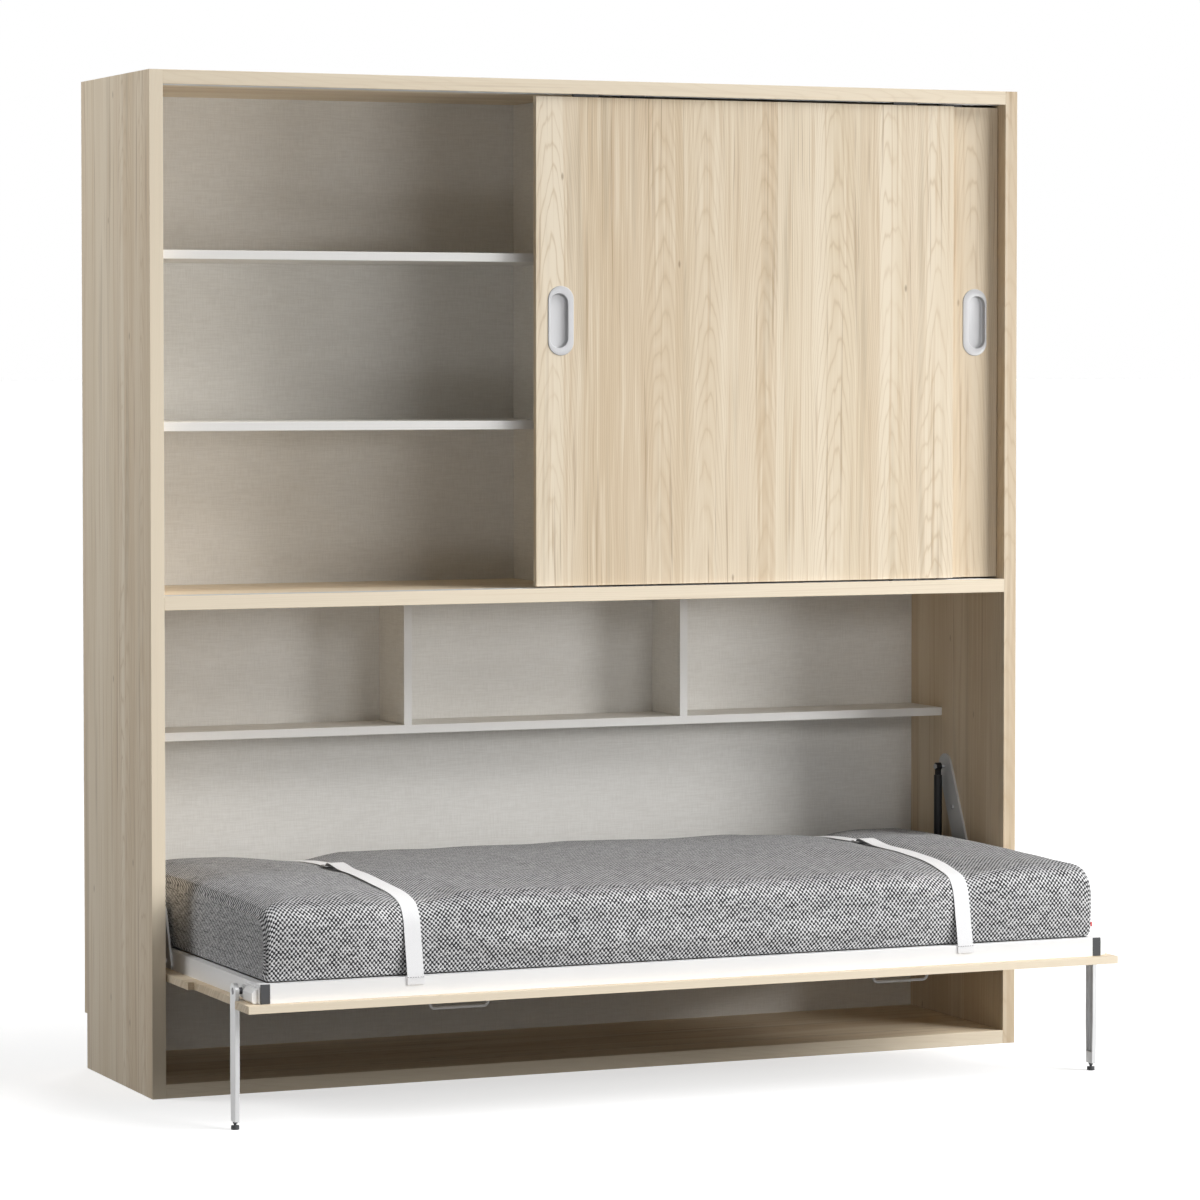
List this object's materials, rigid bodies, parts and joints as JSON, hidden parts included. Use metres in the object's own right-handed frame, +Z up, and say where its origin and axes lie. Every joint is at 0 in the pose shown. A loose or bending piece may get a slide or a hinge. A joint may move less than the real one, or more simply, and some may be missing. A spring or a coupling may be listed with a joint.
{
  "type": "wall bed",
  "caption": "Horizontal wall bed that tilts down from a cabinet niche on gas struts and folding legs, under a shelved cupboard with sliding doors.",
  "frame": {"origin": "centre of the footprint with the bed open, on the floor", "axes": "+Z up, +Y from the open bed's long edge towards the wall, +X to the right as seen from the room"},
  "size_m": [2.06, 1.021, 2.2],
  "materials": {
    "maple": "satin laminate",
    "linen": "matte linen-textured laminate",
    "slat_wood": "satin",
    "white_steel": "satin",
    "grey_steel": "satin",
    "leg_steel": "satin",
    "black_steel": "gloss",
    "bare_steel": "satin",
    "rod_chrome": "polished",
    "dark_steel": "satin",
    "track_aluminium": "anodised",
    "pull_aluminium": "satin",
    "dark_plastic": "matte",
    "nylon": "matte",
    "mattress_cloth": "coarse weave",
    "strap_web": "woven band",
    "red_tag": "matte"
  },
  "bodies": {
    "cabinet": {"left_side_panel": "maple", "right_side_panel": "maple", "top_panel": "maple", "middle_panel": "maple", "bottom_panel": "maple", "upper_back_panel": "linen", "lower_back_panel": "linen", "centre_divider": "linen", "left_low_shelf": "linen", "left_high_shelf": "linen", "right_low_shelf": "linen", "right_high_shelf": "linen", "bridge_shelf": "linen", "bridge_dividers": "linen", "upper_door_track": "track_aluminium", "lower_door_track": "track_aluminium", "wall_brackets": "bare_steel", "cabinet_screws": "bare_steel", "left_side_plate": "grey_steel", "right_side_plate": "grey_steel", "pivot_pins": "bare_steel", "strut_pins": "bare_steel"},
    "bed": {"bed_panel": "maple", "front_rail": "white_steel", "rear_rail": "white_steel", "centre_rail": "white_steel", "left_rail": "white_steel", "right_rail": "white_steel", "rail_caps": "dark_plastic", "slats": "slat_wood", "slat_holders": "dark_plastic", "left_lever": "grey_steel", "right_lever": "grey_steel", "pivot_bushes": "nylon", "bed_screws": "bare_steel", "leg_brackets": "white_steel", "leg_axles": "dark_steel", "left_handle": "white_steel", "right_handle": "white_steel", "mattress": "mattress_cloth", "mattress_tag": "red_tag", "left_strap": "strap_web", "right_strap": "strap_web", "left_buckle": "nylon", "right_buckle": "nylon"},
    "left_leg_unit": {"left_leg": "leg_steel", "left_foot": "dark_plastic"},
    "right_leg_unit": {"right_leg": "leg_steel", "right_foot": "dark_plastic"},
    "left_cylinder": {"left_strut_cylinder": "black_steel"},
    "left_rod": {"left_strut_rod": "rod_chrome"},
    "right_cylinder": {"right_strut_cylinder": "black_steel"},
    "right_rod": {"right_strut_rod": "rod_chrome"},
    "front_door_unit": {"front_door": "maple", "front_door_pull": "pull_aluminium", "front_door_glides": "nylon"},
    "rear_door_unit": {"rear_door": "maple", "rear_door_pull": "pull_aluminium", "rear_door_glides": "nylon"}
  },
  "joints": [
    {"name": "bed_fold", "type": "hinge", "parent": "cabinet", "child": "bed", "pos_m": [0, 0.145, 0.3725], "axis": [-1, 0, 0], "range_deg": [0, 90]},
    {"name": "left_leg_fold", "type": "hinge", "parent": "bed", "child": "left_leg_unit", "pos_m": [-0.9905, -0.4045, 0.282], "axis": [1, 0, 0], "range_deg": [0, 90]},
    {"name": "left_strut_swing", "type": "hinge", "parent": "cabinet", "child": "left_cylinder", "pos_m": [-0.98, 0.305, 0.6125], "axis": [-1, 0, 0], "range_deg": [0, 26.57]},
    {"name": "left_strut_extend", "type": "slide", "parent": "left_cylinder", "child": "left_rod", "axis": [0, 0, -1], "range_m": [0, 0.16731]},
    {"name": "right_leg_fold", "type": "hinge", "parent": "bed", "child": "right_leg_unit", "pos_m": [0.9905, -0.4045, 0.282], "axis": [1, 0, 0], "range_deg": [0, 90]},
    {"name": "right_strut_swing", "type": "hinge", "parent": "cabinet", "child": "right_cylinder", "pos_m": [0.98, 0.305, 0.6125], "axis": [-1, 0, 0], "range_deg": [0, 26.57]},
    {"name": "right_strut_extend", "type": "slide", "parent": "right_cylinder", "child": "right_rod", "axis": [0, 0, -1], "range_m": [0, 0.16731]},
    {"name": "front_door_slide", "type": "slide", "parent": "cabinet", "child": "front_door_unit", "axis": [1, 0, 0], "range_m": [-0.851, 0.125]},
    {"name": "rear_door_slide", "type": "slide", "parent": "cabinet", "child": "rear_door_unit", "axis": [1, 0, 0], "range_m": [-0.976, 0]}
  ],
  "couplings": [
    {"joint": "left_leg_fold", "follows": "bed_fold", "ratio": 1},
    {"joint": "left_strut_swing", "follows": "bed_fold", "ratio": 0.29517},
    {"joint": "left_strut_extend", "follows": "bed_fold", "m_per_rad": 0.10645},
    {"joint": "right_leg_fold", "follows": "bed_fold", "ratio": 1},
    {"joint": "right_strut_swing", "follows": "bed_fold", "ratio": 0.29517},
    {"joint": "right_strut_extend", "follows": "bed_fold", "m_per_rad": 0.10645}
  ]
}
